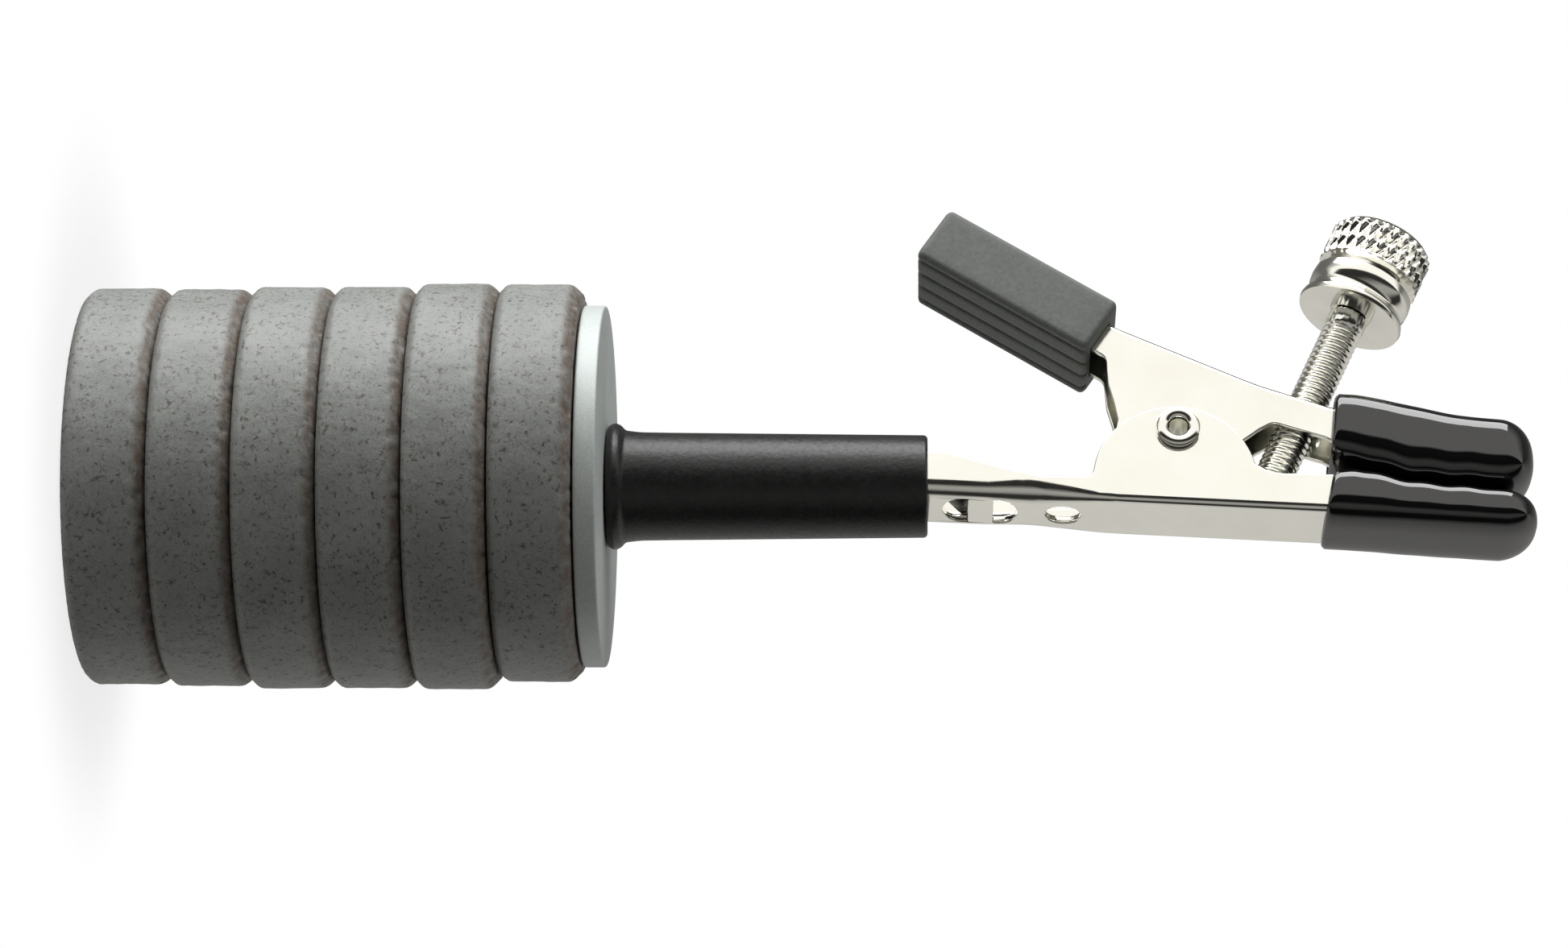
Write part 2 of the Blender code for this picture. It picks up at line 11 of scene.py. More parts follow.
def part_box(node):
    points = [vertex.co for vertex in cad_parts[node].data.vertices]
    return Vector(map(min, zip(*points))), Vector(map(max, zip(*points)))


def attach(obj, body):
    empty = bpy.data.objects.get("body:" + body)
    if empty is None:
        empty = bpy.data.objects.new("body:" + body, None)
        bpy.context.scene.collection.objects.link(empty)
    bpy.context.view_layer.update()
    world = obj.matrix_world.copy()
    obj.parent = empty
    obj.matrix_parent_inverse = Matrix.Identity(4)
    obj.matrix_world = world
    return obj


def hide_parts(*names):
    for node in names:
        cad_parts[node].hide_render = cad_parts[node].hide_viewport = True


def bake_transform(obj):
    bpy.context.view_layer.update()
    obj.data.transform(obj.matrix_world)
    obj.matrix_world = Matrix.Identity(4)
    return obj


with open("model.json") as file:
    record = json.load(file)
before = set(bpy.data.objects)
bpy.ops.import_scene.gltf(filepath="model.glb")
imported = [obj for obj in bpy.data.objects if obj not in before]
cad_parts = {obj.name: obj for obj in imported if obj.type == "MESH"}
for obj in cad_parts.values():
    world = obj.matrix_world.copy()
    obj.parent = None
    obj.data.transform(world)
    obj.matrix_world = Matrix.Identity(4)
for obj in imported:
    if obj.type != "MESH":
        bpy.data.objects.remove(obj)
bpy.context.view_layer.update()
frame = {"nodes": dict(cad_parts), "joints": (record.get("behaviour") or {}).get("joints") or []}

MM = 0.001
MILLIMETRES = Matrix.Scale(MM, 4)
ROOT, LEVER, ROD_BODY, HEAD_BODY = "clamp_frame", "lever", "thumbscrew_rod", "thumbscrew_head"

JOINTS = {joint["name"]: joint for joint in frame["joints"]}
PIVOT = Vector(JOINTS["lever_pivot"]["pos_m"])
PIVOT_UP, PIVOT_OUT = PIVOT.z / MM, -PIVOT.x / MM
FLANGE = Vector(JOINTS["screw_turn"]["pos_m"])
THUMB_AXIS = Vector(JOINTS["screw_travel"]["axis"])
SLEEVE_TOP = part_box("grip_sleeve")[1].z / MM

# Levers, in millimetres
FIXED_HALF_WIDTH, FIXED_SHEET = 3.0, 0.6
MOVING_HALF_WIDTH, MOVING_SHEET = 2.2, 0.5
EAR_CENTRE, EAR_RADIUS = (81.2, -0.9), 6.1
RIVET_BORE = 1.4
LEVER_TIP = 106.2

# Handle cap, in its own slanted frame
CAP_START = (61.7, 18.15)
CAP_SLOPE = math.radians(33)
CAP_LENGTH, CAP_HEIGHT, CAP_HALF_WIDTH = 15.45, 4.75, 3.85
HANDLE_START, HANDLE_LOW, HANDLE_HIGH = 2.75, 1.0, 3.61

# Thumbscrew
ROD_RADIUS, ROD_LENGTH, PITCH = 1.5, 17.8, 0.5
HEAD_HEIGHT = 7.05
KNURLS = 27

# View
VIEW_ROLL = math.radians(27.4)
VIEW_YAW = math.radians(1.6)
VIEW_DISTANCE = 0.358
VIEW_CENTRE = (52.0 * MM, 0.94 * MM)      # along the stack, and towards the thumbscrew
LENS = 109.0


# ---------------------------------------------------------------- shapes

def place(up, out, across=0.0):
    """A point of the clamp, from millimetres in its own directions to world metres."""
    return Vector((-out * MM, across * MM, up * MM))


def smooth(edge_low, edge_high, value):
    share = min(max((value - edge_low) / (edge_high - edge_low), 0.0), 1.0)
    return share * share * (3 - 2 * share)


def along_keys(keys, value):
    """A smooth curve through (position, value) keys, level past both ends."""
    if value <= keys[0][0]:
        return keys[0][1]
    slopes = [(b[1] - a[1]) / (b[0] - a[0]) for a, b in zip(keys, keys[1:])]
    tangents = [slopes[0]] + [(a + b) / 2 for a, b in zip(slopes, slopes[1:])] + [slopes[-1]]
    for index, ((low, first), (high, last)) in enumerate(zip(keys, keys[1:])):
        if value <= high:
            span = high - low
            t = (value - low) / span
            leaving = (t ** 3 - 2 * t ** 2 + t) * span * tangents[index]
            arriving = (t ** 3 - t ** 2) * span * tangents[index + 1]
            share = 3 * t ** 2 - 2 * t ** 3
            return (1 - share) * first + share * last + leaving + arriving
    return keys[-1][1]


def piecewise(keys, value):
    """A straight-line value between (position, value) keys, carried on past both ends."""
    for (low, first), (high, last) in zip(keys, keys[1:]):
        if value <= high:
            break
    return first + (last - first) * (value - low) / (high - low)


def add_piece(name, bm, matrix, material, sharp_deg=35):
    """Link a mesh built in millimetres, placed by matrix, in a material."""
    bm.transform(matrix @ MILLIMETRES)
    bmesh.ops.recalc_face_normals(bm, faces=bm.faces[:])
    mesh = bpy.data.meshes.new(name)
    bm.to_mesh(mesh)
    bm.free()
    mesh.shade_smooth()
    mesh.set_sharp_from_angle(angle=math.radians(sharp_deg))
    piece = bpy.data.objects.new(name, mesh)
    bpy.context.scene.collection.objects.link(piece)
    mesh.materials.append(material)
    return piece


def stitch(bm, rings, wrap=True):
    """Faces between neighbouring rings of vertices."""
    for lower, upper in zip(rings, rings[1:]):
        count = len(lower)
        for index in range(count if wrap else count - 1):
            after = (index + 1) % count
            bm.faces.new((lower[index], lower[after], upper[after], upper[index]))


def spun(profile, sides, closed=False, shape=None):
    """Turn a (radius, height) profile about Z. `shape` may move each point, given radius, height and turn.

    An open profile starts and ends on the axis. A closed one is a ring.
    """
    bm = bmesh.new()
    body = profile if closed else profile[1:-1]
    rings = []
    for radius, height in body:
        ring = []
        for step in range(sides):
            turn = 2 * math.pi * step / sides
            r, h = shape(radius, height, turn) if shape else (radius, height)
            ring.append(bm.verts.new((r * math.cos(turn), r * math.sin(turn), h)))
        rings.append(ring)
    if closed:
        rings.append(rings[0])
    stitch(bm, rings)
    if not closed:
        for ring, (_, height) in ((rings[0], profile[0]), (rings[-1], profile[-1])):
            centre = bm.verts.new((0, 0, height))
            for index in range(sides):
                bm.faces.new((centre, ring[index], ring[(index + 1) % sides]))
    return bm


def rounded(points, radius, steps=5):
    """A profile with every inner corner rounded by up to radius."""
    result = [points[0]]
    for before, corner, after in zip(points, points[1:], points[2:]):
        corner = Vector(corner)
        first, second = Vector(before) - corner, Vector(after) - corner
        reach = min(radius, 0.45 * first.length, 0.45 * second.length)
        start, end = corner + first.normalized() * reach, corner + second.normalized() * reach
        for step in range(steps + 1):
            t = step / steps
            result.append(tuple(start * (1 - t) ** 2 + corner * 2 * t * (1 - t) + end * t ** 2))
    result.append(points[-1])
    return result


def finer(points, longest):
    """The same line with extra points, so that no step is longer than `longest`."""
    result = [tuple(points[0])]
    for first, second in zip(points, points[1:]):
        first, second = Vector(first), Vector(second)
        steps = max(1, math.ceil((second - first).length / longest))
        for step in range(1, steps + 1):
            result.append(tuple(first.lerp(second, step / steps)))
    return result


def filleted(corners, steps=6):
    """A closed side outline from (up, out, radius) corners."""
    outline = []
    for index, (up, out, radius) in enumerate(corners):
        corner = Vector((up, out))
        if radius == 0:
            outline.append(corner)
            continue
        before = Vector(corners[index - 1][:2]) - corner
        after = Vector(corners[(index + 1) % len(corners)][:2]) - corner
        half = before.angle(after) / 2
        reach = min(radius / math.tan(half), 0.49 * before.length, 0.49 * after.length)
        start = corner + before.normalized() * reach
        end = corner + after.normalized() * reach
        for step in range(steps + 1):
            t = step / steps
            outline.append(start * (1 - t) ** 2 + corner * 2 * t * (1 - t) + end * t ** 2)
    return outline


def arc(centre, radius, start_deg, end_deg, steps):
    corners = []
    for step in range(steps + 1):
        angle = math.radians(start_deg + (end_deg - start_deg) * step / steps)
        corners.append((centre[0] + radius * math.cos(angle), centre[1] + radius * math.sin(angle), 0))
    return corners


CLAMP = Matrix(((0, -1, 0, 0), (0, 0, 1, 0), (1, 0, 0, 0), (0, 0, 0, 1)))   # (up, out, across) to world


def prism(outline, half_width):
    """A side outline drawn out along the pivot, as (up, out, across) points."""
    bm = bmesh.new()
    rings = [[bm.verts.new((up, out, across)) for up, out in outline] for across in (-half_width, half_width)]
    bm.faces.new(rings[0])
    bm.faces.new(list(reversed(rings[1])))
    stitch(bm, rings)
    return bm


def across_cylinder(up, out, radius, half_length, sides=48):
    rings = []
    bm = bmesh.new()
    for across in (-half_length, half_length):
        rings.append([bm.verts.new((up + radius * math.cos(2 * math.pi * k / sides),
                                    out + radius * math.sin(2 * math.pi * k / sides), across))
                      for k in range(sides)])
    bm.faces.new(rings[0])
    bm.faces.new(list(reversed(rings[1])))
    stitch(bm, rings)
    return bm


def cut(piece, bm, matrix, operation):
    """Apply a Boolean with a throwaway cutter."""
    cutter = add_piece("cutter", bm, matrix, piece.data.materials[0])
    modifier = piece.modifiers.new("Cut", "BOOLEAN")
    modifier.object = cutter
    modifier.operation = operation
    modifier.solver = "EXACT"
    apply_modifiers(piece)
    bpy.data.objects.remove(cutter, do_unlink=True)


def apply_modifiers(piece):
    graph = bpy.context.evaluated_depsgraph_get()
    mesh = bpy.data.meshes.new_from_object(piece.evaluated_get(graph))
    piece.modifiers.clear()
    old = piece.data
    piece.data = mesh
    bpy.data.meshes.remove(old)


def soften_edges(piece, size, angle_deg=40):
    """A small rounded edge on every sharp corner of a cut sheet, with smooth faces either side."""
    bm = bmesh.new()
    bm.from_mesh(piece.data)
    bmesh.ops.remove_doubles(bm, verts=bm.verts[:], dist=2e-7)
    bmesh.ops.dissolve_limit(bm, angle_limit=math.radians(0.3), verts=bm.verts[:], edges=bm.edges[:])
    sharp = [edge for edge in bm.edges
             if len(edge.link_faces) == 2 and edge.calc_face_angle() > math.radians(angle_deg)]
    bmesh.ops.bevel(bm, geom=sharp, offset=size * MM, segments=2, profile=0.5, affect="EDGES",
                    clamp_overlap=False)
    bm.to_mesh(piece.data)
    bm.free()
    piece.data.shade_smooth()
    piece.data.set_sharp_from_angle(angle=math.radians(50))
    piece.modifiers.new("Weighted", "WEIGHTED_NORMAL").keep_sharp = True
    apply_modifiers(piece)


# ---------------------------------------------------------------- finishes

def node(tree, kind, **inputs):
    made = tree.nodes.new(kind)
    for name, value in inputs.items():
        made.inputs[name.replace("_", " ")].default_value = value
    return made


def object_noise(tree, scale, detail=4.0, roughness=0.55, distortion=0.0):
    """Noise fixed to the piece. `scale` is in waves per millimetre."""
    where = tree.nodes.new("ShaderNodeTexCoord")
    texture = node(tree, "ShaderNodeTexNoise", Scale=scale / MM, Detail=detail, Roughness=roughness,
                   Distortion=distortion)
    tree.links.new(where.outputs["Object"], texture.inputs["Vector"])
    return texture.outputs["Fac"]


def ramp(tree, source, stops):
    """A colour ramp from (position, colour) stops. A plain number makes a grey."""
    made = tree.nodes.new("ShaderNodeValToRGB")
    elements = made.color_ramp.elements
    while len(elements) < len(stops):
        elements.new(0.5)
    for element, (position, colour) in zip(elements, stops):
        element.position = position
        element.color = (colour,) * 3 + (1,) if isinstance(colour, (int, float)) else (*colour, 1)
    tree.links.new(source, made.inputs["Fac"])
    return made.outputs["Color"]


def mixed(tree, amount, first, second, blend="MIX"):
    """A colour mix. Each of first and second is a socket or a colour, and amount a socket or a number."""
    made = tree.nodes.new("ShaderNodeMix")
    made.data_type = "RGBA"
    made.blend_type = blend
    for index, value in ((0, amount), (6, first), (7, second)):
        if isinstance(value, bpy.types.NodeSocket):
            tree.links.new(value, made.inputs[index])
        else:
            made.inputs[index].default_value = value if index == 0 else (*value, 1)
    return made.outputs[2]


def bumps(tree, shader, layers):
    """Stacked bump maps from (height socket, strength, depth in millimetres) layers."""
    normal = None
    for height, strength, depth in layers:
        made = node(tree, "ShaderNodeBump", Strength=strength, Distance=depth * MM)
        tree.links.new(height, made.inputs["Height"])
        if normal:
            tree.links.new(normal, made.inputs["Normal"])
        normal = made.outputs["Normal"]
    tree.links.new(normal, shader.inputs["Normal"])


def material(name, metallic=0.0, specular=0.5):
    """A named material, with its node tree and its shader."""
    made = bpy.data.materials.new(name)
    made.use_nodes = True
    shader = made.node_tree.nodes["Principled BSDF"]
    shader.inputs["Metallic"].default_value = metallic
    shader.inputs["Specular IOR Level"].default_value = specular
    return made, made.node_tree, shader


def nickel_finish():
    """Bright nickel plating: faint drawing waves, fine scratches and slightly yellowed patches."""
    made, tree, shader = material("nickel_plate", metallic=1.0)
    patches = object_noise(tree, 0.25, 3.0)
    colour = ramp(tree, patches, [(0.3, (0.93, 0.92, 0.84)), (0.7, (0.975, 0.97, 0.90))])
    tree.links.new(colour, shader.inputs["Base Color"])
    rough = ramp(tree, object_noise(tree, 1.3, 6.0), [(0.3, 0.10), (0.75, 0.17)])
    tree.links.new(rough, shader.inputs["Roughness"])
    bumps(tree, shader, [(object_noise(tree, 0.5, 2.0), 0.12, 0.05),
                         (object_noise(tree, 9.0, 3.0), 0.05, 0.01)])
    return made


def ferrite_finish(pitch):
    """Sintered ferrite: dull grey skin, dark pits, pale dust and brown, chipped upper edges."""
    made, tree, shader = material("ferrite_sintered", specular=0.6)
    broad = object_noise(tree, 0.22, 5.0, 0.6)
    grain = object_noise(tree, 6.0, 4.0, 0.7)
    pits = ramp(tree, object_noise(tree, 2.4, 8.0, 0.75, 0.4), [(0.38, 1.0), (0.46, 0.0)])
    dust = ramp(tree, object_noise(tree, 11.0, 2.0, 0.6), [(0.70, 0.0), (0.78, 1.0)])
    skin = ramp(tree, broad, [(0.3, (0.20, 0.215, 0.20)), (0.7, (0.31, 0.33, 0.31))])
    skin = mixed(tree, 0.35, skin, ramp(tree, grain, [(0.3, 0.13), (0.7, 0.46)]))
    skin = mixed(tree, pits, skin, (0.085, 0.075, 0.065))

    where = tree.nodes.new("ShaderNodeTexCoord")
    split = tree.nodes.new("ShaderNodeSeparateXYZ")
    tree.links.new(where.outputs["Object"], split.inputs["Vector"])
    share = tree.nodes.new("ShaderNodeMath")
    share.operation = "DIVIDE"
    share.inputs[1].default_value = pitch
    tree.links.new(split.outputs["Z"], share.inputs[0])
    layer = tree.nodes.new("ShaderNodeMath")
    layer.operation = "FRACT"
    tree.links.new(share.outputs[0], layer.inputs[0])
    edge = ramp(tree, layer.outputs[0], [(0.02, 0.25), (0.10, 0.0), (0.80, 0.0), (0.90, 1.0)])
    worn = mixed(tree, 1.0, edge, ramp(tree, object_noise(tree, 0.9, 6.0, 0.7), [(0.35, 0.2), (0.6, 1.0)]),
                 "MULTIPLY")
    skin = mixed(tree, worn, skin, (0.15, 0.115, 0.09))
    skin = mixed(tree, dust, skin, (0.45, 0.45, 0.42))
    tree.links.new(skin, shader.inputs["Base Color"])
    rough = ramp(tree, grain, [(0.3, 0.42), (0.7, 0.6)])
    tree.links.new(rough, shader.inputs["Roughness"])
    bumps(tree, shader, [(object_noise(tree, 0.8, 6.0, 0.65), 0.5, 0.12), (grain, 0.4, 0.03),
                         (pits, -0.6, 0.06)])
    return made


def plate_finish():
    """Dull zinc plating with a faint blue cast and fine speckle."""
    made, tree, shader = material("plate_zinc_dull", metallic=0.25)
    speckle = object_noise(tree, 5.0, 5.0, 0.7)
    tint = ramp(tree, object_noise(tree, 0.3, 3.0), [(0.3, (0.50, 0.56, 0.545)), (0.7, (0.58, 0.64, 0.62))])
    tree.links.new(mixed(tree, 0.25, tint, ramp(tree, speckle, [(0.35, 0.45), (0.65, 0.9)])),
                   shader.inputs["Base Color"])
    tree.links.new(ramp(tree, speckle, [(0.3, 0.5), (0.7, 0.66)]), shader.inputs["Roughness"])
    bumps(tree, shader, [(speckle, 0.3, 0.02)])
    return made


def sleeve_finish():
    """Black moulded plastic with a fine orange-peel skin."""
    made, tree, shader = material("sleeve_orange_peel", specular=0.45)
    peel = object_noise(tree, 3.2, 3.0, 0.5)
    tree.links.new(ramp(tree, object_noise(tree, 1.0, 4.0), [(0.3, 0.010), (0.7, 0.018)]),
                   shader.inputs["Base Color"])
    tree.links.new(ramp(tree, peel, [(0.3, 0.30), (0.7, 0.42)]), shader.inputs["Roughness"])
    bumps(tree, shader, [(peel, 0.45, 0.05), (object_noise(tree, 12.0, 2.0), 0.2, 0.01)])
    return made


def rubber_finish():
    """Dark grey moulded rubber with a mottled, dusty skin."""
    made, tree, shader = material("cap_rubber_moulded", specular=0.35)
    mottle = object_noise(tree, 3.0, 6.0, 0.7)
    dust = ramp(tree, object_noise(tree, 8.0, 2.0), [(0.72, 0.0), (0.8, 0.6)])
    skin = ramp(tree, mottle, [(0.3, (0.12, 0.13, 0.12)), (0.7, (0.19, 0.203, 0.19))])
    tree.links.new(mixed(tree, dust, skin, (0.25, 0.26, 0.24)), shader.inputs["Base Color"])
    tree.links.new(ramp(tree, mottle, [(0.3, 0.5), (0.7, 0.68)]), shader.inputs["Roughness"])
    bumps(tree, shader, [(mottle, 0.35, 0.04), (object_noise(tree, 0.6, 2.0), 0.2, 0.1)])
    return made


def vinyl_finish():
    """Glossy dipped vinyl: deep black, slightly wavy, with a few dust specks."""
    made, tree, shader = material("vinyl_dipped", specular=1.0)
    dust = ramp(tree, object_noise(tree, 5.0, 1.0), [(0.80, 0.0), (0.84, 0.5)])
    tree.links.new(mixed(tree, dust, (0.004, 0.004, 0.0045), (0.2, 0.2, 0.2)), shader.inputs["Base Color"])
    tree.links.new(ramp(tree, object_noise(tree, 0.7, 3.0), [(0.3, 0.03), (0.7, 0.05)]),
                   shader.inputs["Roughness"])
    bumps(tree, shader, [(object_noise(tree, 0.35, 2.0), 0.12, 0.12),
                         (object_noise(tree, 6.0, 2.0), 0.04, 0.01)])
    return made


def steel_finish():
    """Plain steel of the hidden screw, the bush and the spring."""
    made, tree, shader = material("plain_steel", metallic=1.0)
    tree.links.new(ramp(tree, object_noise(tree, 2.0, 5.0), [(0.3, 0.42), (0.7, 0.58)]),
                   shader.inputs["Base Color"])
    tree.links.new(ramp(tree, object_noise(tree, 4.0, 3.0), [(0.3, 0.25), (0.7, 0.4)]),
                   shader.inputs["Roughness"])
    bumps(tree, shader, [(object_noise(tree, 5.0, 3.0), 0.2, 0.02)])
    return made


# ---------------------------------------------------------------- pieces

def ready(piece, body, slot, *nodes):
    """Tie a finished piece to the CAD nodes it stands for, which it hides, and to their body. The slot
    argument is not used.
    """
    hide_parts(*nodes)
    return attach(piece, body)


def magnet(index, finish):
    """A pressed and sintered disc: uneven rim, a clean lower edge and a chipped upper one."""
    name = f"magnet_{index}"
    low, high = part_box(name)
    radius = (high.x - low.x) / 2 / MM
    bottom, top = low.z / MM, high.z / MM
    centre = Vector(((low.x + high.x) / 2, (low.y + high.y) / 2, 0))
    thick = top - bottom
    chamfer_low, chamfer_high = 0.45, 0.75
    corners = [(0, 0), (radius - chamfer_low, 0), (radius, chamfer_low), (radius, thick - chamfer_high),
               (radius - chamfer_high, thick), (0, thick)]
    profile = finer(rounded(corners[1:-1], 0.35, 3), 0.4)
    profile = [(0, 0), (radius - 4, 0), *profile, (radius - 4, thick), (0, thick)]

    def worn(r, height, turn):
        if r < radius - 3:
            return r, height
        spot = Vector((r * math.cos(turn), r * math.sin(turn), height + 20 * index))
        swell = 0.05 * noise.noise(spot * 0.22) + 0.03 * noise.noise(spot * 0.9)
        upper = smooth(thick - 1.5, thick - 0.3, height)
        lower = smooth(1.0, 0.2, height) if height < 1.0 else 0.0
        ragged = noise.noise(spot * 1.7) * 0.6 + noise.noise(spot * 3.9) * 0.4
        chip = max(0.0, ragged - 0.05) * (0.55 * upper + 0.2 * lower)
        fine = 0.02 * noise.noise(spot * 4.5)
        r += min(0.0, swell - 0.03) + fine - chip - 0.02
        return r, min(max(height, 0.0), thick) - 0.35 * chip * upper

    bm = spun(profile, 288, shape=worn)
    seat = Matrix.Translation(centre + Vector((0, 0, bottom * MM)))
    piece = add_piece(f"disc_{index}", bm, seat, finish, 60)
    return ready(piece, ROOT, "ferrite", name)


def plate(finish):
    low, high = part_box("steel_plate")
    radius, bottom, top = high.y / MM, low.z / MM, high.z / MM
    hole, sink = 1.45, 2.5
    corners = [(hole, bottom + 1.2), (sink, bottom), (radius, bottom), (radius, top), (hole, top)]
    profile = [corners[0]] + rounded(corners[1:], 0.22, 5)
    piece = add_piece("round_plate", spun(profile, 160, closed=True), Matrix.Identity(4), finish)
    return ready(piece, ROOT, "plate_zinc", "steel_plate")


def sleeve(finish):
    """The moulded sleeve: a flared bead on the plate, a light taper and a rounded mouth."""
    low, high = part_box("grip_sleeve")
    bottom, top, bead = low.z / MM, high.z / MM, high.y / MM
    bore, waist, mouth = 2.8, 4.1, 3.85
    outer = [(bore, bottom), (bead - 0.25, bottom), (bead, bottom + 0.45), (bead - 0.2, bottom + 0.95),
             (waist + 0.12, bottom + 1.25), (waist - 0.02, bottom + 2.4), (waist - 0.06, bottom + 5.0),
             (mouth, top), (bore + 0.25, top), (bore, top - 0.2)]
    profile = finer([outer[0]] + rounded(outer[1:], 0.38, 6), 1.2)
    piece = add_piece("moulded_sleeve", spun(profile, 128, closed=True), Matrix.Identity(4), finish, 60)
    return ready(piece, ROOT, "sleeve_black", "grip_sleeve")


def pressed_channel(name, stations, web, half_width, bend, reach, side, sheet, finish):
    """A U-shaped sheet lofted along the lever, with its walls drawn out to `reach` past the web.

    web, half_width and bend give the section at a station. side is 1 where the walls stand out from the web
    and -1 where they hang from it.
    """
    bm = bmesh.new()

    def section(up, inset):
        wide, radius, base = half_width(up) - inset, max(bend(up) - inset, 0.12), web(up) + side * inset
        points = []
        flat = wide - radius
        for k in range(7):
            points.append((flat * k / 6, base))
        for k in range(1, 9):
            turn = math.pi / 2 * k / 8
            points.append((flat + radius * math.sin(turn), base + side * radius * (1 - math.cos(turn))))
        start = base + side * radius
        for k in range(1, 7):
            points.append((wide, start + (reach - start) * k / 6))
        return [(-across, out) for across, out in reversed(points[1:])] + points

    rings = []
    for up in stations:
        outer = [bm.verts.new((up, out, across)) for across, out in section(up, 0.0)]
        inner = [bm.verts.new((up, out, across)) for across, out in section(up, sheet)]
        rings.append(outer + inner[::-1])
    stitch(bm, rings)
    half = len(rings[0]) // 2
    for ring in (rings[0], rings[-1]):
        for index in range(half - 1):
            opposite = 2 * half - 1 - index
            bm.faces.new((ring[index], ring[index + 1], ring[opposite - 1], ring[opposite]))
    return add_piece(name, bm, CLAMP, finish, 40)


def fixed_web(up):
    """How far out the fixed lever's web lies at a height."""
    return -2.05 - 0.0535 * (up - 65.8)


def lower_lever(finish):
    """The fixed lever: a rolled tail that opens out into a channel with two round ears."""
    start, tip = SLEEVE_TOP - 14, LEVER_TIP
    bend_keys = [(63, 1.15), (67, 1.2), (70.5, 1.5), (73.0, 1.1), (76, 0.6), (80, 0.55)]
    stations = [start + (tip - start) * k / 90 for k in range(91)]
    piece = pressed_channel(
        "lower_lever", stations,
        web=lambda up: fixed_web(max(up, SLEEVE_TOP - 1)),
        half_width=lambda up: FIXED_HALF_WIDTH - 0.7 * (1 - smooth(58.0, 63.0, up)),
        bend=lambda up: along_keys(bend_keys, up),
        reach=6.5, side=1, sheet=FIXED_SHEET, finish=finish)
    corners = [(tip, -7, 0), (start, -7, 0), (start, 1.35, 0), (64.0, 1.4, 1.0), (65.8, 0.86, 3),
               (68.6, 0.0, 3), (71.2, -0.63, 2), (74.95, -0.63, 0.9)]
    corners += arc(EAR_CENTRE, EAR_RADIUS, 172, 12, 64)
    corners += [(88.4, -0.38, 0.8), (92.2, -0.5, 3), (94.9, -0.45, 1), (98.5, -1.4, 2), (101.5, -1.9, 2),
                (tip, -2.4, 0)]
    cut(piece, prism(filleted(corners), 8), CLAMP, "INTERSECT")
    cut(piece, across_cylinder(PIVOT_UP, PIVOT_OUT, RIVET_BORE, 9), CLAMP, "DIFFERENCE")
    for ends in ((63.9, 65.8, 1.5, 0), (67.7, 69.5, 0, 1.4)):
        cut(piece, web_window(*ends), CLAMP, "DIFFERENCE")
    cut(piece, web_window(71.55, 74.25, 1.35, 1.35, 1.35), CLAMP, "DIFFERENCE")
    soften_edges(piece, 0.11)
    return ready(piece, ROOT, "nickel", "fixed_lever")


def web_window(low, high, round_low, round_high, half_width=1.8):
    """A window through the web between two heights, with pointed-round or square ends."""
    outline = []
    steps = 10
    for end, radius, direction in ((low, round_low, -1), (high, round_high, 1)):
        for k in range(steps + 1):
            turn = math.pi * k / steps - math.pi / 2
            across = half_width * math.sin(turn) * (1 if direction > 0 else -1)
            if radius:
                outline.append((end - direction * radius * (1 - math.cos(turn)), across))
            elif k in (0, steps):
                outline.append((end, across))
    bm = bmesh.new()
    rings = [[bm.verts.new((up, out, across)) for up, across in outline] for out in (-7, -0.5)]
    bm.faces.new(rings[0])
    bm.faces.new(list(reversed(rings[1])))
    stitch(bm, rings)
    return bm


def cap_point(along, high):
    """A point of the cap's slanted frame, as (up, out)."""
    direction = Vector((math.cos(CAP_SLOPE), -math.sin(CAP_SLOPE)))
    outward = Vector((math.sin(CAP_SLOPE), math.cos(CAP_SLOPE)))
    return Vector(CAP_START) + direction * along + outward * high


def upper_lever(finish):
    """The moving lever: a channel that opens downwards, its handle bent up into the cap."""
    handle_high, handle_low = cap_point(HANDLE_START, HANDLE_HIGH), cap_point(HANDLE_START, HANDLE_LOW)
    web_keys = [tuple(handle_high), (76.6, 12.82), (77.6, 12.32), (86.6, 8.12), (88.0, 7.52), (93.0, 5.75),
                (96.3, 5.25), (102.4, 3.75), (LEVER_TIP, 3.47)]
    start, tip = handle_high.x - 1.5, LEVER_TIP
    stations = [start + (tip - start) * k / 100 for k in range(101)]
    piece = pressed_channel(
        "upper_lever", stations, web=lambda up: piecewise(web_keys, up),
        half_width=lambda up: MOVING_HALF_WIDTH, bend=lambda up: 0.55, reach=-2.5, side=-1,
        sheet=MOVING_SHEET, finish=finish)
    corners = [(handle_high.x + 0.3, 26, 0), (tip, 26, 0), (tip, -0.5, 0), (105.2, -0.5, 0),
               (101.5, -0.15, 0), (98.5, 0.4, 0), (94.9, 1.6, 0), (92.6, 3.0, 1.5), (90.0, 3.85, 1.2),
               (88.65, 4.3, 1.0), (87.6, 3.7, 0.8)]
    corners += arc((PIVOT_UP, PIVOT_OUT), 4.6, -10, -196, 48)
    corners += [(76.8, 6.1, 2), (76.4, 7.6, 2), (76.25, 9.9, 0.9), (*handle_low, 0)]
    cut(piece, prism(filleted(corners), 8), CLAMP, "INTERSECT")
    cut(piece, across_cylinder(PIVOT_UP, PIVOT_OUT, RIVET_BORE, 9), CLAMP, "DIFFERENCE")
    rod_way = spun([(0, -14), (1.6, -14), (1.6, -4), (0, -4)], 40)
    cut(piece, rod_way, thumb_frame(), "DIFFERENCE")
    soften_edges(piece, 0.1)
    return ready(piece, LEVER, "nickel", "moving_lever")


